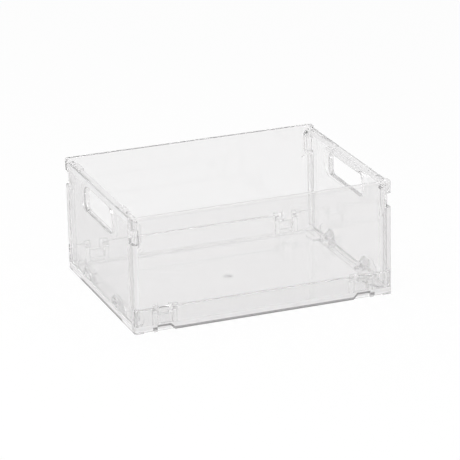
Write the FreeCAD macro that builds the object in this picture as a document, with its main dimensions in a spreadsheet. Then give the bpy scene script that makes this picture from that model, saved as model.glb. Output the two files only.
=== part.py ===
import FreeCAD, Part
import os
import re
import Sketcher

# Folding storage box: a tray, two long panels on high hinges and two end panels on low hinges.
# X runs along the length, Y along the depth (the front is at -Y) and Z up from the surface it stands on.

# Every size that can be set by itself, in millimetres
SIZES = {
    # Whole box
    "box_length": 205,
    "box_depth": 155,
    "box_height": 90,
    "corner_radius": 1.5,
    # Wall thicknesses
    "panel_wall": 2.5,
    "end_wall": 2.8,
    "floor_thickness": 2,
    # Clearances between the mouldings
    "seam_gap": 0.3,
    "side_gap": 0.2,
    "lip_gap": 0.3,
    "knuckle_gap": 0.15,
    "end_knuckle_gap": 0.3,
    "pin_clearance": 0.08,
    "recess_gap": 0.5,
    # Tray
    "base_height": 18.2,
    "end_rim_height": 5,
    "foot_height": 2,
    "foot_wall": 2.5,
    "corner_foot_width": 7,
    "foot_relief": 0.7,
    "under_rib_inset": 5.5,
    "under_rib_wall": 1.5,
    "under_rib_height": 1.6,
    "arch_height": 3.6,
    "arch_depth": 1.5,
    "arch_overlap": 1,
    "arch_slope": 3.7,
    "sill_height": 1.7,
    "corner_pad_height": 1.5,
    "corner_pad_width": 10,
    "corner_pad_length": 27.5,
    "corner_pad_inset": 1.1,
    "corner_pad_cut_x": 6,
    "corner_pad_cut_y": 13,
    "gate_radius": 2.2,
    "gate_depth": 0.4,
    # Hinges
    "knuckle_width": 11.4,
    "pin_radius": 1.4,
    "pin_length": 2.8,
    "inner_post_width": 3.4,
    "outer_post_width": 3.7,
    "long_post_radius": 2.3,
    "long_axis_inset": 2.9,
    "long_axis_drop": 2.4,
    "long_knuckle_inset": 24.35,
    "cap_rise": 1.8,
    "bare_pin": 3.2,
    "barrel_blend": 7,
    "end_post_radius": 2.6,
    "end_post_foot": 1.2,
    "end_barrel_radius": 2.8,
    "end_axis_inset": 4.7,
    "end_axis_rise": 3.4,
    "end_knuckle_inset": 43.5,
    # Long panels
    "return_depth": 7.5,
    "notch_drop": 9.6,
    "notch_height": 11.2,
    "notch_width": 5,
    "bump_radius": 1.4,
    "bump_reach": 1.1,
    "bump_drop": 26.1,
    "bump_inset": 7.6,
    # End panels
    "end_drop": 1.7,
    "end_chamfer": 1.3,
    "lip_wall": 2.5,
    "lip_reach": 1.6,
    "lip_root": 4,
    "lip_rise": 1,
    "latch_width": 4.7,
    "latch_root": 0.8,
    "latch_drop": 4,
    "latch_height": 20,
    "latch_corner": 2.4,
    "latch_slope": 4,
    "handle_width": 64,
    "handle_height": 20.5,
    "handle_drop": 5.3,
    "handle_low_radius": 5,
    "handle_high_radius": 9,
    "rim_thickness": 1.5,
    "rim_side": 9,
    "rim_edge": 2.1,
    "rim_radius": 11,
    "grip_reach": 2.8,
    "grip_thickness": 1.5,
    "grip_width": 64,
    "rail_reach": 2.6,
    "rail_height": 1.8,
    "lug_inset": 24,
    "lug_width": 13,
    "lug_thickness": 3.4,
    "recess_margin": 0.4,
    "recess_width": 32,
    "recess_shoulder": 3.4,
    "recess_rise": 7,
    "gusset_height": 4.5,
}

# Places that several features share, each worked out from the sizes and from places above it
PLACES = {
    "half_length": "box_length / 2",
    "half_depth": "box_depth / 2",
    "floor_top": "foot_height + floor_thickness",
    "sill_top": "floor_top + sill_height",
    "long_inner": "half_depth - panel_wall",
    "end_inner": "half_length - end_wall",
    "return_edge": "half_depth - return_depth",
    "socket_radius": "pin_radius + pin_clearance",
    # Hinge line of a long panel, and its barrel and pins in the window between two posts
    "long_axis_y": "half_depth - long_axis_inset",
    "long_axis_z": "base_height - long_axis_drop",
    "long_knuckle_middle": "half_length - long_knuckle_inset",
    "long_knuckle_start": "long_knuckle_middle - knuckle_width / 2",
    "long_knuckle_end": "long_knuckle_middle + knuckle_width / 2",
    "long_barrel_start": "long_knuckle_start + bare_pin",
    "window_start": "long_knuckle_start - knuckle_gap",
    "window_end": "long_knuckle_end + knuckle_gap",
    "inner_post_start": "window_start - inner_post_width",
    "outer_post_end": "window_end + outer_post_width",
    # Hinge line of an end panel, and its barrel between two posts on the floor
    "end_axis_x": "half_length - end_axis_inset",
    "end_axis_z": "floor_top + end_axis_rise",
    "end_knuckle_middle": "half_depth - end_knuckle_inset",
    "end_knuckle_start": "end_knuckle_middle - knuckle_width / 2",
    "end_knuckle_end": "end_knuckle_middle + knuckle_width / 2",
    "first_post_end": "end_knuckle_start - end_knuckle_gap",
    "first_post_start": "first_post_end - inner_post_width",
    "second_post_start": "end_knuckle_end + end_knuckle_gap",
    "second_post_end": "second_post_start + inner_post_width",
    # Tray
    "bead_inner_x": "half_length - foot_wall",
    "bead_inner_y": "half_depth - foot_wall",
    "corner_foot_x": "half_length - corner_foot_width",
    "corner_foot_y": "half_depth - corner_foot_width",
    "rib_outer_x": "half_length - under_rib_inset",
    "rib_outer_y": "half_depth - under_rib_inset",
    "rib_inner_x": "rib_outer_x - under_rib_wall",
    "rib_inner_y": "rib_outer_y - under_rib_wall",
    "rib_bottom": "foot_height - under_rib_height",
    "arch_start": "window_start - arch_overlap",
    "arch_end": "window_end + arch_overlap",
    "corner_pad_x1": "end_inner - corner_pad_inset",
    "corner_pad_x0": "corner_pad_x1 - corner_pad_width",
    "corner_pad_y1": "return_edge + corner_pad_inset",
    "corner_pad_y0": "corner_pad_y1 - corner_pad_length",
    "cap_top": "base_height + cap_rise",
    # Long panels
    "panel_bottom": "base_height + seam_gap",
    "cap_notch_top": "cap_top + seam_gap",
    "notch_top": "box_height - notch_drop",
    "notch_bottom": "notch_top - notch_height",
    # End panels
    "end_bottom": "end_rim_height + seam_gap",
    "end_top": "box_height - end_drop",
    "end_edge": "return_edge - side_gap",
    "lip_outer": "end_inner - lip_gap",
    "lip_inner": "lip_outer - lip_wall",
    "lip_start": "end_edge - lip_root",
    "lip_end": "end_edge + lip_reach",
    "lip_bottom": "end_axis_z + lip_rise",
    "latch_inner": "lip_outer - latch_width",
    "latch_top": "box_height - latch_drop",
    "latch_bottom": "latch_top - latch_height",
    "handle_end": "handle_width / 2",
    "handle_top": "end_top - handle_drop",
    "handle_bottom": "handle_top - handle_height",
    "rim_face": "end_inner - rim_thickness",
    "rim_end": "handle_end + rim_side",
    "rim_top": "handle_top + rim_edge",
    "rim_bottom": "handle_bottom - rim_edge",
    "grip_tip": "rim_face - grip_reach",
    "grip_top": "handle_top + grip_thickness",
    "rail_face": "end_inner - rail_reach",
    "rail_bottom": "end_top - rail_height",
    "lug_middle": "half_depth - lug_inset",
    "recess_face": "end_axis_x + end_post_radius + recess_gap",
    "recess_start": "first_post_start - recess_margin",
    "recess_end": "recess_start + recess_width",
    "recess_side_top": "end_axis_z + recess_shoulder",
    "recess_radius": "recess_width * recess_width / (8 * recess_rise) + recess_rise / 2",
    "barrel_top": "end_axis_z + end_barrel_radius",
    "gusset_top": "barrel_top + gusset_height",
}

document = FreeCAD.newDocument("StorageBox")
sheet = document.addObject("Spreadsheet::Sheet", "Sizes")
for row, (name, value) in enumerate(SIZES.items(), start=1):
    sheet.set(f"A{row}", name)
    sheet.set(f"B{row}", str(value))
    sheet.setAlias(f"B{row}", name)
document.recompute()


def formula(text):
    """Writes an expression out, down to the cells of the sheet."""
    def written_out(word):
        if word[0] in PLACES:
            return "(" + formula(PLACES[word[0]]) + ")"
        return "Sizes." + word[0]
    return re.sub(r"[a-z][a-z0-9_]*", written_out, text)


def number(text):
    """The present value of an expression, for a first drawing of it."""
    return float(sheet.evalExpression(formula(text)))


class Outline:
    """A sketch on one of a body's origin planes, with every point tied to the sizes."""

    def __init__(self, sketch):
        self.sketch = sketch

    def bind(self, index, text):
        self.sketch.setExpression(f"Constraints[{index}]", formula(text))

    def tie(self, geometry, point, place):
        """Ties a point of the geometry to a place (across, up) from the sketch's origin."""
        for kind, text in zip(("DistanceX", "DistanceY"), place):
            link = Sketcher.Constraint(kind, -1, 1, geometry, point, number(text))
            self.bind(self.sketch.addConstraint(link), text)

    def round_to(self, geometry, text):
        link = Sketcher.Constraint("Radius", geometry, number(text))
        self.bind(self.sketch.addConstraint(link), text)

    def join(self, pieces):
        """Joins each piece's end to the next one's start, and the last to the first."""
        for piece, after in zip(pieces, pieces[1:] + pieces[:1]):
            self.sketch.addConstraint(Sketcher.Constraint("Coincident", piece, 2, after, 1))

    def polygon(self, corners):
        """Straight lines through the corners, in the order given."""
        points = [FreeCAD.Vector(number(across), number(up), 0) for across, up in corners]
        ends = points[1:] + points[:1]
        lines = [self.sketch.addGeometry(Part.LineSegment(a, b)) for a, b in zip(points, ends)]
        self.join(lines)
        for line, corner in zip(lines, corners):
            self.tie(line, 1, corner)

    def rectangle(self, left, low, right, high):
        self.polygon([(left, low), (right, low), (right, high), (left, high)])

    def circle(self, across, up, radius):
        middle = FreeCAD.Vector(number(across), number(up), 0)
        ring = Part.Circle(middle, FreeCAD.Vector(0, 0, 1), number(radius))
        geometry = self.sketch.addGeometry(ring)
        self.tie(geometry, 3, (across, up))
        self.round_to(geometry, radius)

    def arc(self, start, end, radius):
        """An arc that bulges to the right of the way from start to end."""
        first = FreeCAD.Vector(number(start[0]), number(start[1]), 0)
        last = FreeCAD.Vector(number(end[0]), number(end[1]), 0)
        chord = last - first
        across = FreeCAD.Vector(chord.y, -chord.x, 0).normalize()
        reach = number(radius)
        rise = reach - (reach ** 2 - (chord.Length / 2) ** 2) ** 0.5
        top = first + chord * 0.5 + across * rise
        return self.sketch.addGeometry(Part.Arc(first, top, last))

    def line(self, start, end):
        first = FreeCAD.Vector(number(start[0]), number(start[1]), 0)
        last = FreeCAD.Vector(number(end[0]), number(end[1]), 0)
        return self.sketch.addGeometry(Part.LineSegment(first, last))

    def half_slot(self, end, low, high, low_radius, high_radius):
        """The half of a rounded rectangle that lies to the right of the sketch's origin."""
        low_corner = [("0", low), (f"{end} - {low_radius}", low), (end, f"{low} + {low_radius}")]
        high_corner = [(end, f"{high} - {high_radius}"), (f"{end} - {high_radius}", high), ("0", high)]
        pieces = [
            self.line(low_corner[0], low_corner[1]),
            self.arc(low_corner[1], low_corner[2], low_radius),
            self.line(low_corner[2], high_corner[0]),
            self.arc(high_corner[0], high_corner[1], high_radius),
            self.line(high_corner[1], high_corner[2]),
            self.line(high_corner[2], low_corner[0]),
        ]
        self.join(pieces)
        for piece, place in zip(pieces, low_corner + high_corner):
            self.tie(piece, 1, place)
        self.round_to(pieces[1], low_radius)
        self.round_to(pieces[3], high_radius)

    def dome(self, left, right, low, shoulder, radius):
        """Straight sides up to a shoulder, and one arc over the top."""
        places = [(left, low), (right, low), (right, shoulder), (left, shoulder)]
        pieces = [
            self.line(places[0], places[1]),
            self.line(places[1], places[2]),
            self.arc(places[2], places[3], radius),
            self.line(places[3], places[0]),
        ]
        self.join(pieces)
        for piece, place in zip(pieces, places):
            self.tie(piece, 1, place)
        self.round_to(pieces[2], radius)


class Moulding:
    """A body made by features that each run from one level to another along an axis."""

    PLANES = {"X": "YZ_Plane", "Y": "XZ_Plane", "Z": "XY_Plane"}

    def __init__(self, label):
        self.body = document.addObject("PartDesign::Body", label)
        self.body.Label = label

    def plane(self, axis):
        role = self.PLANES[axis]
        return next(item for item in self.body.Origin.OriginFeatures if item.Role == role)

    def extrude(self, kind, name, axis, start, end):
        """Starts a pad or a pocket between two levels, and gives its outline to draw in.

        The outline's own axes are X and Y seen along Z, X and Z along Y, and Y and Z along X.
        """
        sketch = self.body.newObject("Sketcher::SketchObject", name + "Outline")
        sketch.AttachmentSupport = (self.plane(axis), "")
        sketch.MapMode = "FlatFace"
        level = f"0 - ({end})" if axis == "Y" else start
        sketch.setExpression("AttachmentOffset.Base.z", formula(level))
        feature = self.body.newObject(kind, name)
        feature.Profile = sketch
        feature.Reversed = kind == "PartDesign::Pocket"
        feature.setExpression("Length", formula(f"({end}) - ({start})"))
        return Outline(sketch)

    def add(self, name, axis, start, end):
        return self.extrude("PartDesign::Pad", name, axis, start, end)

    def cut(self, name, axis, start, end):
        return self.extrude("PartDesign::Pocket", name, axis, start, end)

    def soften(self, kind, name, property_name, text, wanted):
        """Rounds or bevels the edges of the present shape whose box the test accepts."""
        document.recompute()
        base = self.body.Tip
        whole = base.Shape.BoundBox
        edges = base.Shape.Edges
        names = [f"Edge{i}" for i, edge in enumerate(edges, 1) if wanted(edge.BoundBox, whole)]
        feature = self.body.newObject(kind, name)
        feature.Base = (base, names)
        feature.setExpression(property_name, formula(text))

    def mirror(self, axis):
        """Doubles the body across the plane at right angles to an axis."""
        document.recompute()
        mirrored = self.body.newObject("PartDesign::Mirrored", "Mirror" + axis)
        mirrored.TransformMode = "Whole shape"
        mirrored.MirrorPlane = (self.plane(axis), [""])
        self.body.Tip = mirrored

    def turn_round(self):
        """Turns the piece half round, for the other side of the box."""
        self.body.Placement = FreeCAD.Placement(
            FreeCAD.Vector(0, 0, 0), FreeCAD.Rotation(FreeCAD.Vector(0, 0, 1), 180))


def same(first, second):
    return abs(first - second) < 0.001


def outer_corner(edge, whole):
    """The upright edges at the corner of the box."""
    return same(edge.XMin, whole.XMax) and same(edge.YMin, whole.YMax) and edge.ZLength > 1


def outer_bottom(edge, whole):
    """The bottom edges on the outer side of an end panel."""
    return same(edge.XMin, whole.XMax) and same(edge.ZMax, whole.ZMin)


def base_tray():
    """Floor, low walls with the windows of the high hinges, end rims and feet, as a quarter."""
    tray = Moulding("base_tray")
    tray.add("Block", "Z", "0", "base_height").rectangle("0", "0", "half_length", "half_depth")
    tray.soften("PartDesign::Fillet", "Corner", "Radius", "corner_radius", outer_corner)
    tray.cut("Inside", "Z", "floor_top", "base_height").rectangle("0", "0", "end_inner", "long_inner")
    opening = tray.cut("EndOpening", "Z", "end_rim_height", "base_height")
    opening.rectangle("end_inner", "0", "half_length", "return_edge")

    # Underside: a bead all round, a rib inside it and a block under each corner
    tray.cut("Underside", "Z", "0", "foot_height").rectangle("0", "0", "bead_inner_x", "bead_inner_y")
    tray.add("UnderRib", "Z", "rib_bottom", "foot_height").polygon([
        ("0", "rib_inner_y"), ("rib_inner_x", "rib_inner_y"), ("rib_inner_x", "0"),
        ("rib_outer_x", "0"), ("rib_outer_x", "rib_outer_y"), ("0", "rib_outer_y")])
    foot = tray.add("CornerFoot", "Z", "0", "foot_height")
    foot.rectangle("corner_foot_x", "corner_foot_y", "bead_inner_x", "bead_inner_y")
    relief = tray.cut("FootRelief", "Y", "bead_inner_y", "half_depth")
    relief.rectangle("outer_post_end", "0", "corner_foot_x", "foot_relief")
    arch = tray.cut("Arch", "Y", "half_depth - arch_depth", "half_depth")
    arch.polygon([
        ("arch_start", "0"), ("arch_end", "0"), ("arch_end", "arch_height"),
        ("arch_start + arch_slope", "arch_height")])

    # High hinge: a window in the wall, and a post with a cap on each side of it
    window = tray.cut("Window", "Y", "long_inner", "half_depth")
    window.rectangle("window_start", "sill_top", "window_end", "base_height")
    posts = {"Inner": ("inner_post_start", "window_start"), "Outer": ("window_end", "outer_post_end")}
    for name, (start, end) in posts.items():
        post = tray.add(name + "Post", "X", start, end)
        post.rectangle("long_axis_y - long_post_radius", "floor_top", "long_inner", "long_axis_z")
        post_top = tray.add(name + "PostTop", "X", start, end)
        post_top.circle("long_axis_y", "long_axis_z", "long_post_radius")
        cap = tray.add(name + "PostCap", "Z", "base_height", "cap_top")
        cap.rectangle(start, "long_inner", end, "half_depth")
    sockets = tray.cut("Sockets", "X", "inner_post_start", "outer_post_end")
    sockets.circle("long_axis_y", "long_axis_z", "socket_radius")

    # Low hinge: two posts on the floor, wider at the foot
    end_posts = {
        "First": ("first_post_start", "first_post_end"),
        "Second": ("second_post_start", "second_post_end"),
    }
    for name, (start, end) in end_posts.items():
        tray.add(name + "EndPost", "Y", start, end).polygon([
            ("end_axis_x - end_post_radius - end_post_foot", "floor_top"),
            ("end_axis_x + end_post_radius", "floor_top"),
            ("end_axis_x + end_post_radius", "end_axis_z"),
            ("end_axis_x - end_post_radius", "end_axis_z")])
        end_post_top = tray.add(name + "EndPostTop", "Y", start, end)
        end_post_top.circle("end_axis_x", "end_axis_z", "end_post_radius")
    end_sockets = tray.cut("EndSockets", "Y", "first_post_start", "second_post_end")
    end_sockets.circle("end_axis_x", "end_axis_z", "socket_radius")

    tray.add("CornerPad", "Z", "floor_top", "floor_top + corner_pad_height").polygon([
        ("corner_pad_x0", "corner_pad_y0"), ("corner_pad_x1", "corner_pad_y0"),
        ("corner_pad_x1", "corner_pad_y1"), ("corner_pad_x0 + corner_pad_cut_x", "corner_pad_y1"),
        ("corner_pad_x0", "corner_pad_y1 - corner_pad_cut_y")])
    tray.mirror("X")
    tray.mirror("Y")
    gate = tray.cut("Gate", "Z", "foot_height", "foot_height + gate_depth")
    gate.circle("0", "0", "gate_radius")
    return tray


def long_panel(label):
    """The high wall with its two returns, as the half on the right of the back of the box."""
    panel = Moulding(label)
    panel.add("Channel", "Z", "panel_bottom", "box_height").polygon([
        ("0", "long_inner"), ("end_inner", "long_inner"), ("end_inner", "return_edge"),
        ("half_length", "return_edge"), ("half_length", "half_depth"), ("0", "half_depth")])
    panel.soften("PartDesign::Fillet", "Corner", "Radius", "corner_radius", outer_corner)
    corner_notch = panel.cut("CornerNotch", "Y", "return_edge", "half_depth")
    corner_notch.rectangle("half_length - notch_width", "notch_bottom", "half_length", "notch_top")
    cap_notch = panel.cut("CapNotch", "Y", "long_inner", "half_depth")
    cap_notch.rectangle(
        "inner_post_start - seam_gap", "panel_bottom", "outer_post_end + seam_gap", "cap_notch_top")

    # Barrel that runs into the wall above it, and the pins that snap into the posts
    knuckle = ("long_barrel_start", "long_knuckle_end")
    panel.add("Tab", "X", *knuckle).polygon([
        ("long_axis_y - long_axis_inset", "long_axis_z"), ("half_depth", "long_axis_z"),
        ("half_depth", "cap_notch_top"), ("long_inner", "long_axis_z + barrel_blend")])
    panel.add("Barrel", "X", *knuckle).circle("long_axis_y", "long_axis_z", "long_axis_inset")
    pins = panel.add("Pins", "X", "long_knuckle_start - pin_length", "long_knuckle_end + pin_length")
    pins.circle("long_axis_y", "long_axis_z", "pin_radius")
    bump = panel.add("LatchBump", "Y", "long_inner - bump_reach", "long_inner")
    bump.circle("half_length - bump_inset", "box_height - bump_drop", "bump_radius")
    panel.mirror("X")
    return panel


def end_panel(label):
    """The end wall with its handle, as the back half of the right end of the box."""
    panel = Moulding(label)
    panel.add("Plate", "Z", "end_bottom", "end_top").rectangle("end_inner", "0", "half_length", "end_edge")
    panel.soften("PartDesign::Chamfer", "BottomBevel", "Size", "end_chamfer", outer_bottom)

    # Side lip behind the return, and the latch lug that shows in the corner notch
    panel.add("Lip", "Z", "lip_bottom", "end_top").polygon([
        ("lip_inner", "lip_start"), ("end_inner", "lip_start"), ("end_inner", "end_edge"),
        ("lip_outer", "end_edge"), ("lip_outer", "lip_end"), ("lip_inner", "lip_end")])
    panel.add("Latch", "Y", "end_edge - latch_root", "long_inner - lip_gap").polygon([
        ("latch_inner + latch_corner", "latch_bottom"), ("lip_outer", "latch_bottom"),
        ("lip_outer", "latch_top"), ("latch_inner + latch_corner", "latch_top"),
        ("latch_inner", "latch_top - latch_corner"), ("latch_inner", "latch_bottom + latch_slope")])

    # Handle hole with a raised rim and a lip for the fingers above it
    rim = panel.add("Rim", "X", "rim_face", "end_inner")
    rim.half_slot("rim_end", "rim_bottom", "rim_top", "rim_radius", "rim_radius")
    handle = panel.cut("Handle", "X", "rim_face", "half_length")
    handle.half_slot(
        "handle_end", "handle_bottom", "handle_top", "handle_low_radius", "handle_high_radius")
    grip = panel.add("Grip", "Y", "0", "grip_width / 2")
    grip.rectangle("grip_tip", "handle_top", "rim_face", "grip_top")

    # Top rail and the lug that stands up from it
    rail = panel.add("Rail", "Z", "rail_bottom", "end_top")
    rail.rectangle("rail_face", "0", "end_inner", "lip_start")
    lug = panel.add("Lug", "Z", "rail_bottom", "box_height")
    lug.rectangle(
        "rail_face", "lug_middle - lug_width / 2", "rail_face + lug_thickness", "lug_middle + lug_width / 2")

    # Recess that clears the hinge posts, and the barrel between them
    recess = panel.cut("Recess", "X", "end_inner", "recess_face")
    recess.dome("recess_start", "recess_end", "end_bottom", "recess_side_top", "recess_radius")
    knuckle = ("end_knuckle_start", "end_knuckle_end")
    panel.add("Knuckle", "Y", *knuckle).polygon([
        ("end_axis_x", "end_bottom"), ("recess_face", "end_bottom"),
        ("recess_face", "gusset_top"), ("end_axis_x", "barrel_top")])
    panel.add("Barrel", "Y", *knuckle).circle("end_axis_x", "end_axis_z", "end_barrel_radius")
    pins = panel.add("Pins", "Y", "end_knuckle_start - pin_length", "end_knuckle_end + pin_length")
    pins.circle("end_axis_x", "end_axis_z", "pin_radius")
    panel.mirror("Y")
    return panel


mouldings = [
    base_tray(),
    long_panel("front_panel"),
    long_panel("back_panel"),
    end_panel("left_end_panel"),
    end_panel("right_end_panel"),
]
mouldings[1].turn_round()
mouldings[3].turn_round()
document.recompute()

for item in document.Objects:
    if {"Invalid", "Error"} & set(item.State):
        raise RuntimeError(f"{item.Name} failed: {item.State}")
os.makedirs("parts", exist_ok=True)
for moulding in mouldings:
    shape = moulding.body.Shape
    if shape.isNull() or not shape.isValid() or len(shape.Solids) != 1:
        raise RuntimeError(f"{moulding.body.Label} is not one sound solid")
    shape.exportStep(f"parts/{moulding.body.Label}.step")
    print(moulding.body.Label, round(shape.Volume), "mm3", len(shape.Faces), "faces")
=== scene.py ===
import math
from functools import partial, reduce
from types import SimpleNamespace

import bpy
from mathutils import Matrix, Vector


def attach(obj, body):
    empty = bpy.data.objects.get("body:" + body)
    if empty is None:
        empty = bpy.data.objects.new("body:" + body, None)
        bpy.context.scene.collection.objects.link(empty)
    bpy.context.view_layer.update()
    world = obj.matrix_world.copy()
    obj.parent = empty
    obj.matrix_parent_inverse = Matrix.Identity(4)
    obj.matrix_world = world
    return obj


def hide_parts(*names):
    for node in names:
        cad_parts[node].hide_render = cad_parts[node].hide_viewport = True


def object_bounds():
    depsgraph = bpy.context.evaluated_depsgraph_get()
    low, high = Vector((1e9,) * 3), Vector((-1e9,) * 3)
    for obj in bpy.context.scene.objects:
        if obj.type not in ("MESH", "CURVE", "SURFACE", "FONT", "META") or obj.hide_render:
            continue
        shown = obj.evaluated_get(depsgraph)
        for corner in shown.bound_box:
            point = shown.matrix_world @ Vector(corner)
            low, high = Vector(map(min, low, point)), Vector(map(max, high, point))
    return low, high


# Folding storage box of clear plastic on a white studio table.
# Lengths are in metres, and +X is the box's length, +Y its depth and +Z up.
MM = 0.001

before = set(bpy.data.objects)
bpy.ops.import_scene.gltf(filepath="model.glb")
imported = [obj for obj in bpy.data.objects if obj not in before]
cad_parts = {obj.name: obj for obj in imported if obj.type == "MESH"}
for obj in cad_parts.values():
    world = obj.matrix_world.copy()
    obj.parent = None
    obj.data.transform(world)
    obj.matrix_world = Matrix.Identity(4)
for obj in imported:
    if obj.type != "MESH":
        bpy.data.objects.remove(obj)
SIZE_AT_START = [list(corner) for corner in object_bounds()]

# The box stands on the floor with its middle over the origin, so its far corner gives its size
HALF_LENGTH, HALF_DEPTH, BOX_HEIGHT = SIZE_AT_START[1]

# The mouldings, and the body that each of them moves with
BODIES = {
    "base_tray": "tray",
    "front_panel": "front_wall",
    "back_panel": "back_wall",
    "left_end_panel": "left_end",
    "right_end_panel": "right_end",
}
LONG_WALLS = ("front_panel", "back_panel")
END_WALLS = ("left_end_panel", "right_end_panel")


def inside(outer, far, near):
    """Two places that lie so many millimetres inside an outer face of the box."""
    return outer - far * MM, outer - near * MM


# The photograph's camera, fitted to the box's corners. Blender takes the sensor and lens in millimetres.
PHOTO_PIXELS = 460
SENSOR_WIDTH = 36
FOCAL_PIXELS = 2812.69
CAMERA_AZIMUTH = math.radians(-20.80)
CAMERA_ELEVATION = math.radians(19.80)
CAMERA_ROLL = math.radians(-1.27)
CAMERA_DISTANCE = 2141.95 * MM
CAMERA_SHIFT_RIGHT = 2.62 * MM
CAMERA_SHIFT_UP = -3.77 * MM
CAMERA_TARGET = Vector((0, 0, BOX_HEIGHT / 2))
CAMERA_REACH = (0.05, 50)

# Rounding of the edges and cleaning of the mesh before it
EDGE_RADIUS = 0.3 * MM
EDGE_STEPS = 2
SHARP_EDGE = math.radians(30)
SMOOTH_BELOW = math.radians(45)
LARGE_FACE_WEIGHT = 100
MERGE_DISTANCE = 0.002 * MM
FLAT_ANGLE = math.radians(0.5)

# Clear plastic, with the slow waves and the slightly uneven polish of a moulded face
PLASTIC_TINT = (0.921, 0.917, 0.918, 1)
PLASTIC_IOR = 1.52
PLASTIC_CLARITY = 0.94
PLASTIC_SHADOW = (0.9, 0.9, 0.9, 1)
WAVE_LENGTH = 40 * MM
WAVE_HEIGHT = 0.05 * MM
WAVE_DETAIL = 1
POLISH_PATCH = 12 * MM
POLISH_DETAIL = 3
POLISH_ROUGHNESS = (0.01, 0.05)

# Light that has bounced this often inside the plastic isn't tinted further, or goes straight out
UNTINTED_AFTER = 6
UNTINTED = (1, 1, 1, 1)
STRAIGHT_AFTER = 8

# Thin webs that close the lower part of the tray's hinge windows
WINDOW_ACROSS = inside(HALF_LENGTH, 30.2, 18.5)
WINDOW_BOTTOM = 5.7 * MM
WEB_GAP = 0.1 * MM
WEB_TOP = 12.6 * MM
WEB_DEEP = inside(HALF_DEPTH, 2.3, 1.3)

# Outer faces of the long sides and of the ends, and the soft border between two halves of the box
SHADE_BLUR = 0.3 * MM
WALL_FACE = inside(HALF_DEPTH, 2.3, 1.9)
END_FACE = inside(HALF_LENGTH, 2.3, 1.9)
MIDDLE = (-1 * MM, 1 * MM)

# Painted shade: a dark line along the bead at the bottom edge, which steps up over the hinge arches
# Colour of all the painted shades, and of the gate mark in the floor
SHADE_AND_GATE_MARK_TINT = (0.05, 0.048, 0.05, 1)
BEAD_SHADE_SHARE = 0.85
BEAD_TOP = 2.3 * MM
ARCH_RISE = 3.1 * MM
ARCH_CURVE = inside(HALF_LENGTH, 31.5, 27.5)
ARCH_END = inside(HALF_LENGTH, 17.5, 17.1)
END_BEAD = inside(HALF_DEPTH, 30.5, 28.5)
POST_FOOT_ACROSS = inside(HALF_LENGTH, 17.7, 13.7)
POST_FOOT_UP = (0.9 * MM, 3.8 * MM)

# Painted shade: the tray is made a little greyer than the walls, most of all near its hinges
TRAY_SHADE = 0.07
TRAY_SHADE_UP = (2.4 * MM, 19.9 * MM)
HINGE_SHADE = 0.05
HINGE_SHADE_ACROSS = inside(HALF_LENGTH, 36.5, 28.5)

# Mark that the moulding's gate leaves in the middle of the floor
GATE_MARK = 0.2
GATE_MARK_RADIUS = (2 * MM, 5.5 * MM)

# Painted light: the light that the floor slab, the front rim and the rails on the ends gather, painted
# on as a pale diffuse layer
PAINTED_LIGHT_COLOUR = (0.86, 0.852, 0.855, 1)
FLOOR_PAINTED_LIGHT = 0.7
FLOOR_LIGHT_UP = (1.5 * MM, 5.8 * MM)
TOP_PAINTED_LIGHT = 0.8
TOP_LIGHT_UP = inside(BOX_HEIGHT, 0.5, -0.5)
TOP_LIGHT_DEEP = inside(HALF_DEPTH, 27.5, 17.5)
RAIL_PAINTED_LIGHT = 0.4
RAIL_LIGHT_UP = inside(BOX_HEIGHT, 6.9, 1)
RAIL_DEEP = inside(HALF_DEPTH, 7.9, 7.6)

# The walls turn the corners, and there their thickness is painted as a pale band of light or a grey band
# of shade beside a painted dark line
CORNER_SHADE_COLOUR = (0.66, 0.655, 0.65, 1)
CORNER_PAINTED_LIGHT = 0.7
CORNER_UP = (20.1 * MM, BOX_HEIGHT - 20.7 * MM)
CORNER_ON_WALL = inside(HALF_DEPTH, 0.6, 0.3)
CORNER_ON_END = inside(HALF_LENGTH, 0.6, 0.3)
CORNER_PAST_END = inside(HALF_LENGTH, 4.1, 3.6)
CORNER_PAST_WALL = inside(HALF_DEPTH, 6.9, 6.5)
CORNER_LINE_SHADE = 0.5
CORNER_LINE_ON_WALL = inside(HALF_LENGTH, 5, 3.7)
CORNER_LINE_ON_END = inside(HALF_DEPTH, 8.3, 6.9)

# Painted shade: dark rims of the handle holes, outside on the left end and inside on the right end
HOLE_RIM_SHADE = 0.5
RIGHT_HOLE_SHARE = 0.4
HOLE_END = 32.4 * MM
HOLE_UP = inside(BOX_HEIGHT, 27.9, 6.6)
HOLE_TURN = 0.9
LEFT_HOLE_RIM = inside(HALF_LENGTH, 1.4, 1)
RIGHT_HOLE_RIM = inside(HALF_LENGTH, 3.3, 2.9)

# Painted shade: dark lines along the tops of the ends, along the front rim and in the notches of the
# long walls
END_TOP_SHADE = 0.5
END_LINE_ACROSS = inside(HALF_LENGTH, 1.3, 1)
END_LINE_UP = inside(BOX_HEIGHT, 2.3, 1.2)
RIM_SHADE = 0.14
RIM_LINE_UP = inside(BOX_HEIGHT, 2.6, 1.6)
RIM_TOP = inside(BOX_HEIGHT, 0.3, 0.1)
RIM_LINE_DEEP = inside(HALF_DEPTH, 2.9, 1.9)
NOTCH_SHADE = 0.22
NOTCH_ACROSS = inside(HALF_LENGTH, 5.3, 0.9)
NOTCH_UP = inside(BOX_HEIGHT, 21, 9.4)
NOTCH_TURN = 0.9

# Light and surroundings
WHITE = (1, 1, 1, 1)
TABLE_RADIUS = 6
TABLE_CORNERS = 64
TABLE_GAP = 0.1 * MM
SHADOW_SHARE = 0.15
MIRRORED_GREY = (0.66, 0.65, 0.655, 1)
ROOM_LOW = (0.2, 0.95)
ROOM_HIGH = (0.6, 0.6)
LAMP_PLACE = Vector((-1.2, -1, 2.2))
LAMP_WIDTH = 1.6
LAMP_POWER = 30
CLEAR_BOUNCES = 32
MIRROR_BOUNCES = 16


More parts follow.
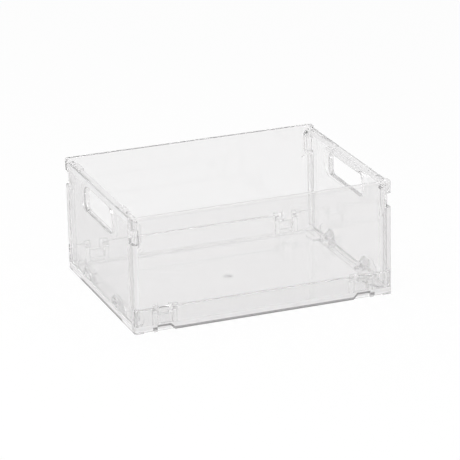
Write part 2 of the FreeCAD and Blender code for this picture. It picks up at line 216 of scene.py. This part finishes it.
def only_select(piece):
    """Selects one piece and nothing else."""
    bpy.ops.object.select_all(action="DESELECT")
    piece.select_set(True)
    bpy.context.view_layer.objects.active = piece


def apply_modifier(piece, kind, **settings):
    """Adds a modifier of that kind and applies it at once."""
    modifier = piece.modifiers.new(kind.title(), kind)
    for name, value in settings.items():
        setattr(modifier, name, value)
    only_select(piece)
    bpy.ops.object.modifier_apply(modifier=modifier.name)


def round_edges(piece):
    """Small round edges that catch the light, with the large faces still shaded flat."""
    apply_modifier(
        piece, "BEVEL", width=EDGE_RADIUS, segments=EDGE_STEPS, limit_method="ANGLE",
        angle_limit=SHARP_EDGE, use_clamp_overlap=True, miter_outer="MITER_SHARP")
    only_select(piece)
    bpy.ops.object.shade_smooth_by_angle(angle=SMOOTH_BELOW)
    apply_modifier(
        piece, "WEIGHTED_NORMAL", mode="FACE_AREA", weight=LARGE_FACE_WEIGHT, keep_sharp=True)


def hole_wall(node, centre, normal):
    """Whether a face lies inside a handle hole."""
    within = abs(centre.y) < HOLE_END and HOLE_UP[0] < centre.z < HOLE_UP[1]
    return node in END_WALLS and within and abs(normal.x) < HOLE_TURN


def notch_wall(node, centre, normal):
    """Whether a face bounds the notch at a corner of a long wall."""
    across = NOTCH_ACROSS[0] < abs(centre.x) < NOTCH_ACROSS[1]
    within = across and NOTCH_UP[0] < centre.z < NOTCH_UP[1]
    return node in LONG_WALLS and within and max(abs(normal.x), abs(normal.z)) > NOTCH_TURN


def mark_faces(piece, node, test):
    """Gives each face 1 or 0 under the test's own name, for the material to read."""
    marks = piece.data.attributes.new(test.__name__, "FLOAT", "FACE")
    for face in piece.data.polygons:
        marks.data[face.index].value = float(test(node, face.center, face.normal))


def finished_moulding(node, body):
    """A moulding with its edges rounded, made over a copy of the CAD node's own mesh."""
    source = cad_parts[node]
    piece = source.copy()
    piece.data = source.data.copy()
    piece.name = node + "_moulding"
    for key in list(piece.keys()):
        del piece[key]
    piece.parent = None
    bpy.context.scene.collection.objects.link(piece)
    only_select(piece)
    bpy.ops.object.mode_set(mode="EDIT")
    bpy.ops.mesh.select_all(action="SELECT")
    bpy.ops.mesh.remove_doubles(threshold=MERGE_DISTANCE)
    bpy.ops.mesh.dissolve_limited(angle_limit=FLAT_ANGLE)
    bpy.ops.object.mode_set(mode="OBJECT")
    round_edges(piece)
    for test in (hole_wall, notch_wall):
        mark_faces(piece, node, test)
    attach(piece, body)
    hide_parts(node)
    return piece


def hinge_window_webs():
    """A thin web for each of the tray's four hinge windows, as one piece."""
    across = (WINDOW_ACROSS[0] + WEB_GAP, WINDOW_ACROSS[1] - WEB_GAP)
    spans = (across, WEB_DEEP, (WINDOW_BOTTOM + WEB_GAP, WEB_TOP))
    middle = Vector([sum(span) / 2 for span in spans])
    bpy.ops.object.select_all(action="DESELECT")
    bpy.ops.mesh.primitive_cube_add(size=1, location=middle, scale=[high - low for low, high in spans])
    piece = bpy.context.active_object
    piece.name = "hinge_window_webs"
    bpy.ops.object.transform_apply(location=True, rotation=False, scale=True)
    round_edges(piece)
    copies = []
    for along, back in ((-1, 1), (1, -1), (-1, -1)):
        copy = piece.copy()
        copy.data = piece.data.copy()
        copy.data.transform(Matrix.Translation(((along - 1) * middle.x, (back - 1) * middle.y, 0)))
        bpy.context.scene.collection.objects.link(copy)
        copies.append(copy)
    only_select(piece)
    for copy in copies:
        copy.select_set(True)
    bpy.ops.object.join()
    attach(piece, "tray")
    return piece


def feed(tree, value, socket):
    """Gives a socket its value, which is another node's socket or a constant."""
    if isinstance(value, bpy.types.NodeSocket):
        tree.links.new(value, socket)
    else:
        socket.default_value = value


def arithmetic(tree, operation, first, second=0):
    """A Math node over one or two values."""
    node = tree.nodes.new("ShaderNodeMath")
    node.operation = operation
    feed(tree, first, node.inputs[0])
    feed(tree, second, node.inputs[1])
    return node.outputs[0]


def product(tree, *values):
    """All the values multiplied."""
    return reduce(partial(arithmetic, tree, "MULTIPLY"), values)


def largest(tree, *values):
    """The largest of the values."""
    return reduce(partial(arithmetic, tree, "MAXIMUM"), values)


def rise(tree, value, start, end):
    """0 below start, 1 above end, and a smooth rise between them."""
    node = tree.nodes.new("ShaderNodeMapRange")
    node.interpolation_type = "SMOOTHSTEP"
    node.inputs["From Min"].default_value = start
    node.inputs["From Max"].default_value = end
    feed(tree, value, node.inputs["Value"])
    return node.outputs["Result"]


def fade(tree, value, start, end):
    """1 below start, 0 above end, and a smooth fade between them."""
    return arithmetic(tree, "SUBTRACT", 1, rise(tree, value, start, end))


def band(tree, value, start, end):
    """1 between start and end, with a smooth fade just inside both."""
    return product(
        tree, rise(tree, value, start, start + SHADE_BLUR), fade(tree, value, end - SHADE_BLUR, end))


def noise(tree, point, patch, detail):
    """Noise whose patches are about that wide."""
    node = tree.nodes.new("ShaderNodeTexNoise")
    node.inputs["Scale"].default_value = 1 / patch
    node.inputs["Detail"].default_value = detail
    feed(tree, point, node.inputs["Vector"])
    return node.outputs["Fac"]


def new_group(name, outputs):
    """A node group that takes a point and puts out the named values, with both of its ends."""
    group = bpy.data.node_groups.new(name, "ShaderNodeTree")
    group.interface.new_socket("Point", in_out="INPUT", socket_type="NodeSocketVector")
    for output in outputs:
        group.interface.new_socket(output, in_out="OUTPUT", socket_type="NodeSocketFloat")
    point = group.nodes.new("NodeGroupInput").outputs["Point"]
    return group, point, group.nodes.new("NodeGroupOutput")


def moulded_finish():
    """Slow waves of a moulded face, and a polish that varies a little."""
    group, point, result = new_group("moulded_finish", ("Roughness", "Height"))
    feed(group, noise(group, point, WAVE_LENGTH, WAVE_DETAIL), result.inputs["Height"])
    roughness = group.nodes.new("ShaderNodeMapRange")
    roughness.inputs["To Min"].default_value = POLISH_ROUGHNESS[0]
    roughness.inputs["To Max"].default_value = POLISH_ROUGHNESS[1]
    feed(group, noise(group, point, POLISH_PATCH, POLISH_DETAIL), roughness.inputs["Value"])
    feed(group, roughness.outputs["Result"], result.inputs["Roughness"])
    return group


def place_on_box(tree, point):
    """Where a point lies on the box, in the terms that the shades below use."""
    parts = tree.nodes.new("ShaderNodeSeparateXYZ")
    feed(tree, point, parts.inputs["Vector"])
    along, back, height = (parts.outputs[axis] for axis in "XYZ")
    across = arithmetic(tree, "ABSOLUTE", along)
    deep = arithmetic(tree, "ABSOLUTE", back)
    on_wall = rise(tree, deep, *WALL_FACE)
    on_end = rise(tree, across, *END_FACE)
    return SimpleNamespace(
        height=height, across=across, deep=deep,
        on_wall=on_wall, on_end=on_end, outside=largest(tree, on_wall, on_end),
        in_left_half=fade(tree, along, *MIDDLE), in_right_half=rise(tree, along, *MIDDLE),
        in_front_half=fade(tree, back, *MIDDLE), in_back_half=rise(tree, back, *MIDDLE),
        wall_corner=product(
            tree, rise(tree, deep, *CORNER_ON_WALL), rise(tree, across, *CORNER_PAST_END)),
        end_corner=product(
            tree, rise(tree, across, *CORNER_ON_END), rise(tree, deep, *CORNER_PAST_WALL)))


def marked(tree, test):
    """1 on the faces that the test marked."""
    node = tree.nodes.new("ShaderNodeAttribute")
    node.attribute_name = test.__name__
    return node.outputs["Fac"]


def painted_bead_shade(tree, at):
    """Painted shade: a dark line along the bottom edge, over the hinge arches and at the feet of the
    posts.
    """
    drop = product(tree, fade(tree, at.across, *ARCH_CURVE), ARCH_RISE)
    above_line = arithmetic(tree, "SUBTRACT", arithmetic(tree, "ADD", at.height, drop), ARCH_RISE)
    wall_line = product(
        tree, band(tree, above_line, -SHADE_BLUR, BEAD_TOP), fade(tree, at.across, *ARCH_END))
    post_foot = product(
        tree, band(tree, at.across, *POST_FOOT_ACROSS), band(tree, at.height, *POST_FOOT_UP))
    end_line = product(
        tree, band(tree, at.height, -SHADE_BLUR, BEAD_TOP), fade(tree, at.deep, *END_BEAD), at.on_end)
    wall_lines = product(tree, largest(tree, wall_line, post_foot), at.on_wall)
    return product(tree, largest(tree, wall_lines, end_line), BEAD_SHADE_SHARE)


def tray_shade(tree, at):
    """Painted shade: the tray a little greyer, with a little more of it near the hinges."""
    near_hinge = product(tree, rise(tree, at.across, *HINGE_SHADE_ACROSS), HINGE_SHADE)
    strength = arithmetic(tree, "ADD", near_hinge, TRAY_SHADE)
    return product(tree, strength, band(tree, at.height, *TRAY_SHADE_UP), at.outside)


# Painted shade along the rims of the handle holes
def painted_hole_rim_shade(tree, at):
    left = product(tree, at.in_left_half, rise(tree, at.across, *LEFT_HOLE_RIM))
    right = product(tree, at.in_right_half, fade(tree, at.across, *RIGHT_HOLE_RIM), RIGHT_HOLE_SHARE)
    return product(tree, largest(tree, left, right), HOLE_RIM_SHADE, marked(tree, hole_wall))


# Painted shade in the notches of the long walls
def painted_notch_shade(tree, at):
    return product(tree, marked(tree, notch_wall), NOTCH_SHADE)


# Painted shade along the tops of the ends
def painted_end_top_shade(tree, at):
    on_top = product(tree, rise(tree, at.across, *END_LINE_ACROSS), band(tree, at.height, *END_LINE_UP))
    return product(tree, on_top, fade(tree, at.deep, *RAIL_DEEP), END_TOP_SHADE)


# Painted shade along the front rim, on its top and its face
def painted_rim_shade(tree, at):
    on_top = product(tree, rise(tree, at.height, *RIM_TOP), band(tree, at.deep, *RIM_LINE_DEEP))
    on_front = product(tree, band(tree, at.height, *RIM_LINE_UP), at.on_wall)
    return product(tree, largest(tree, on_top, on_front), at.in_front_half, RIM_SHADE)


# Painted shade: a dark line beside the corners
def painted_corner_line_shade(tree, at):
    on_wall = product(
        tree, rise(tree, at.deep, *CORNER_ON_WALL), band(tree, at.across, *CORNER_LINE_ON_WALL),
        at.in_right_half)
    on_end = product(
        tree, rise(tree, at.across, *CORNER_ON_END), band(tree, at.deep, *CORNER_LINE_ON_END),
        at.in_back_half)
    return product(tree, largest(tree, on_wall, on_end), band(tree, at.height, *CORNER_UP), CORNER_LINE_SHADE)


# Painted light along the floor slab
def painted_floor_light(tree, at):
    return product(tree, band(tree, at.height, *FLOOR_LIGHT_UP), at.outside, FLOOR_PAINTED_LIGHT)


# Painted light along the front rim
def painted_top_light(tree, at):
    on_front = product(tree, at.in_front_half, rise(tree, at.deep, *TOP_LIGHT_DEEP))
    return product(tree, band(tree, at.height, *TOP_LIGHT_UP), on_front, TOP_PAINTED_LIGHT)


# Painted light along the rails on the ends
def painted_rail_light(tree, at):
    return product(
        tree, band(tree, at.height, *RAIL_LIGHT_UP), fade(tree, at.deep, *RAIL_DEEP), RAIL_PAINTED_LIGHT)


# Painted light: a pale band where the walls turn the corners
def painted_corner_light(tree, at):
    corners = largest(tree, at.wall_corner, at.end_corner)
    return product(tree, corners, band(tree, at.height, *CORNER_UP), CORNER_PAINTED_LIGHT)


def gate_mark(tree, at):
    squares = arithmetic(
        tree, "ADD", product(tree, at.across, at.across), product(tree, at.deep, at.deep))
    radius = arithmetic(tree, "SQRT", squares)
    return product(tree, fade(tree, radius, *GATE_MARK_RADIUS), GATE_MARK)


# The painted shades and the painted light that edge_shade gathers
PAINTED_SHADES = (painted_bead_shade, tray_shade, painted_hole_rim_shade, painted_notch_shade, painted_end_top_shade, painted_rim_shade, painted_corner_line_shade)
PAINTED_LIGHTS = (painted_floor_light, painted_top_light, painted_corner_light, painted_rail_light)


def edge_shade():
    """Shares of the painted shades, the painted light, the painted grey corners and the gate's mark at a
    point.
    """
    group, point, result = new_group("edge_shade", ("Dark", "Painted light", "Mark", "Corner"))
    at = place_on_box(group, point)
    dark = largest(group, *(shade(group, at) for shade in PAINTED_SHADES))
    painted_light = largest(group, *(shade(group, at) for shade in PAINTED_LIGHTS))
    clear_of_dark = arithmetic(group, "SUBTRACT", 1, dark)
    feed(group, dark, result.inputs["Dark"])
    feed(group, product(group, painted_light, clear_of_dark), result.inputs["Painted light"])
    feed(group, gate_mark(group, at), result.inputs["Mark"])
    # Painted grey shade on the front corners of the ends
    feed(group, product(group, at.end_corner, at.in_front_half), result.inputs["Corner"])
    return group


def empty_tree(owner):
    """The node tree of a new material or world, with no node in it."""
    owner.use_nodes = True
    owner.node_tree.nodes.clear()
    return owner.node_tree


def placed_group(tree, group, point):
    """The outputs of a node group that is placed in a material."""
    node = tree.nodes.new("ShaderNodeGroup")
    node.node_tree = group
    feed(tree, point, node.inputs["Point"])
    return node.outputs


def mixed_colour(tree, share, first, second):
    """The first colour, with a share of the second."""
    node = tree.nodes.new("ShaderNodeMix")
    node.data_type = "RGBA"
    feed(tree, share, node.inputs["Factor"])
    feed(tree, first, node.inputs["A"])
    feed(tree, second, node.inputs["B"])
    return node.outputs["Result"]


def mixed_shader(tree, share, first, second):
    """The first shader, with a share of the second."""
    node = tree.nodes.new("ShaderNodeMixShader")
    for socket, value in zip(node.inputs, (share, first, second)):
        feed(tree, value, socket)
    return node.outputs["Shader"]


def plain_shader(tree, kind, colour):
    """A shader that has only a colour."""
    node = tree.nodes.new(kind)
    feed(tree, colour, node.inputs["Color"])
    return node.outputs[0]


def clear_plastic():
    """Clear polished plastic. Shadow rays pass through it, so it casts only a faint shadow."""
    material = bpy.data.materials.new("clear_plastic")
    tree = empty_tree(material)
    place = tree.nodes.new("ShaderNodeTexCoord").outputs["Object"]
    ray = tree.nodes.new("ShaderNodeLightPath").outputs
    finish = placed_group(tree, moulded_finish(), place)
    shade = placed_group(tree, edge_shade(), place)

    waves = tree.nodes.new("ShaderNodeBump")
    waves.inputs["Distance"].default_value = WAVE_HEIGHT
    feed(tree, finish["Height"], waves.inputs["Height"])

    # Painted shade, seen by camera rays only, and the gate mark darken the plastic's tint
    dark = largest(tree, product(tree, shade["Dark"], ray["Is Camera Ray"]), shade["Mark"])
    tint = mixed_colour(tree, dark, PLASTIC_TINT, SHADE_AND_GATE_MARK_TINT)
    deep = arithmetic(tree, "GREATER_THAN", ray["Ray Depth"], UNTINTED_AFTER)
    plastic = tree.nodes.new("ShaderNodeBsdfPrincipled")
    plastic.inputs["IOR"].default_value = PLASTIC_IOR
    plastic.inputs["Transmission Weight"].default_value = PLASTIC_CLARITY
    feed(tree, mixed_colour(tree, deep, tint, UNTINTED), plastic.inputs["Base Color"])
    feed(tree, finish["Roughness"], plastic.inputs["Roughness"])
    feed(tree, waves.outputs["Normal"], plastic.inputs["Normal"])

    # Painted light: a pale diffuse layer seen by camera rays only, with painted grey shade at the front
    # corners of the ends
    painted_light_colour = mixed_colour(tree, shade["Corner"], PAINTED_LIGHT_COLOUR, CORNER_SHADE_COLOUR)
    painted_light = plain_shader(tree, "ShaderNodeBsdfDiffuse", painted_light_colour)
    seen_painted_light = product(tree, shade["Painted light"], ray["Is Camera Ray"])
    with_painted_light = mixed_shader(tree, seen_painted_light, plastic.outputs["BSDF"], painted_light)

    straight = arithmetic(tree, "GREATER_THAN", ray["Ray Depth"], STRAIGHT_AFTER)
    passing = largest(tree, ray["Is Shadow Ray"], straight)
    clear = plain_shader(tree, "ShaderNodeBsdfTransparent", PLASTIC_SHADOW)
    output = tree.nodes.new("ShaderNodeOutputMaterial")
    feed(tree, mixed_shader(tree, passing, with_painted_light, clear), output.inputs["Surface"])
    return material


def table_white():
    """White to the eye, also through the plastic, apart from a faint shadow, and grey in reflections."""
    material = bpy.data.materials.new("table_white")
    tree = empty_tree(material)
    ray = tree.nodes.new("ShaderNodeLightPath").outputs
    matt = plain_shader(tree, "ShaderNodeBsdfDiffuse", WHITE)
    white = plain_shader(tree, "ShaderNodeEmission", WHITE)
    grey = plain_shader(tree, "ShaderNodeEmission", MIRRORED_GREY)
    seen = largest(tree, ray["Is Camera Ray"], ray["Is Transmission Ray"])
    brightened = mixed_shader(tree, product(tree, seen, 1 - SHADOW_SHARE), matt, white)
    reflected = arithmetic(tree, "SUBTRACT", ray["Is Glossy Ray"], ray["Is Transmission Ray"])
    output = tree.nodes.new("ShaderNodeOutputMaterial")
    feed(tree, mixed_shader(tree, reflected, brightened, grey), output.inputs["Surface"])
    return material


def table():
    """A wide floor under the box."""
    bpy.ops.mesh.primitive_circle_add(
        vertices=TABLE_CORNERS, radius=TABLE_RADIUS, fill_type="NGON", location=(0, 0, -TABLE_GAP))
    floor = bpy.context.active_object
    floor.name = "table"
    floor.data.materials.append(table_white())


def studio_world():
    """A bright studio: white to the eye, and in the plastic greyer overhead than near the floor."""
    world = bpy.data.worlds.new("studio")
    bpy.context.scene.world = world
    tree = empty_tree(world)
    parts = tree.nodes.new("ShaderNodeSeparateXYZ")
    feed(tree, tree.nodes.new("ShaderNodeTexCoord").outputs["Generated"], parts.inputs["Vector"])
    ramp = tree.nodes.new("ShaderNodeValToRGB")
    for element, (height, grey) in zip(ramp.color_ramp.elements, (ROOM_LOW, ROOM_HIGH)):
        element.position = height
        element.color = (grey, grey, grey, 1)
    feed(tree, parts.outputs["Z"], ramp.inputs["Fac"])
    room = plain_shader(tree, "ShaderNodeBackground", ramp.outputs["Color"])
    white = plain_shader(tree, "ShaderNodeBackground", WHITE)
    ray = tree.nodes.new("ShaderNodeLightPath").outputs
    output = tree.nodes.new("ShaderNodeOutputWorld")
    feed(tree, mixed_shader(tree, ray["Is Camera Ray"], room, white), output.inputs["Surface"])


def soft_lamp():
    """One wide round lamp above the front left, turned to the box."""
    data = bpy.data.lights.new("key_light", "AREA")
    data.shape = "DISK"
    data.size = LAMP_WIDTH
    data.energy = LAMP_POWER
    lamp = bpy.data.objects.new("key_light", data)
    lamp.location = LAMP_PLACE
    lamp.rotation_mode = "QUATERNION"
    lamp.rotation_quaternion = (CAMERA_TARGET - LAMP_PLACE).to_track_quat("-Z", "Y")
    bpy.context.scene.collection.objects.link(lamp)


def photo_camera():
    """The camera that took the photograph, found from the box's corners."""
    azimuth, elevation, roll = CAMERA_AZIMUTH, CAMERA_ELEVATION, CAMERA_ROLL
    back = Vector((
        math.sin(azimuth) * math.cos(elevation),
        -math.cos(azimuth) * math.cos(elevation),
        math.sin(elevation)))
    level = Vector((math.cos(azimuth), math.sin(azimuth), 0))
    upright = back.cross(level)
    right = level * math.cos(roll) + upright * math.sin(roll)
    up = upright * math.cos(roll) - level * math.sin(roll)
    data = bpy.data.cameras.new("photo_camera")
    data.sensor_width = SENSOR_WIDTH
    data.lens = FOCAL_PIXELS / PHOTO_PIXELS * SENSOR_WIDTH
    data.clip_start, data.clip_end = CAMERA_REACH
    camera = bpy.data.objects.new("photo_camera", data)
    bpy.context.scene.collection.objects.link(camera)
    place = CAMERA_TARGET + back * CAMERA_DISTANCE + right * CAMERA_SHIFT_RIGHT + up * CAMERA_SHIFT_UP
    turn = Matrix((right, up, back)).transposed().to_4x4()
    camera.matrix_world = Matrix.Translation(place) @ turn
    bpy.context.scene.camera = camera


plastic = clear_plastic()
pieces = [finished_moulding(node, body) for node, body in BODIES.items()]
pieces.append(hinge_window_webs())
for piece in pieces:
    piece.data.materials.clear()
    piece.data.materials.append(plastic)

table()
studio_world()
soft_lamp()
photo_camera()
bpy.context.scene.view_settings.view_transform = "Standard"
bpy.context.scene.cycles.max_bounces = CLEAR_BOUNCES
bpy.context.scene.cycles.transmission_bounces = CLEAR_BOUNCES
bpy.context.scene.cycles.glossy_bounces = MIRROR_BOUNCES
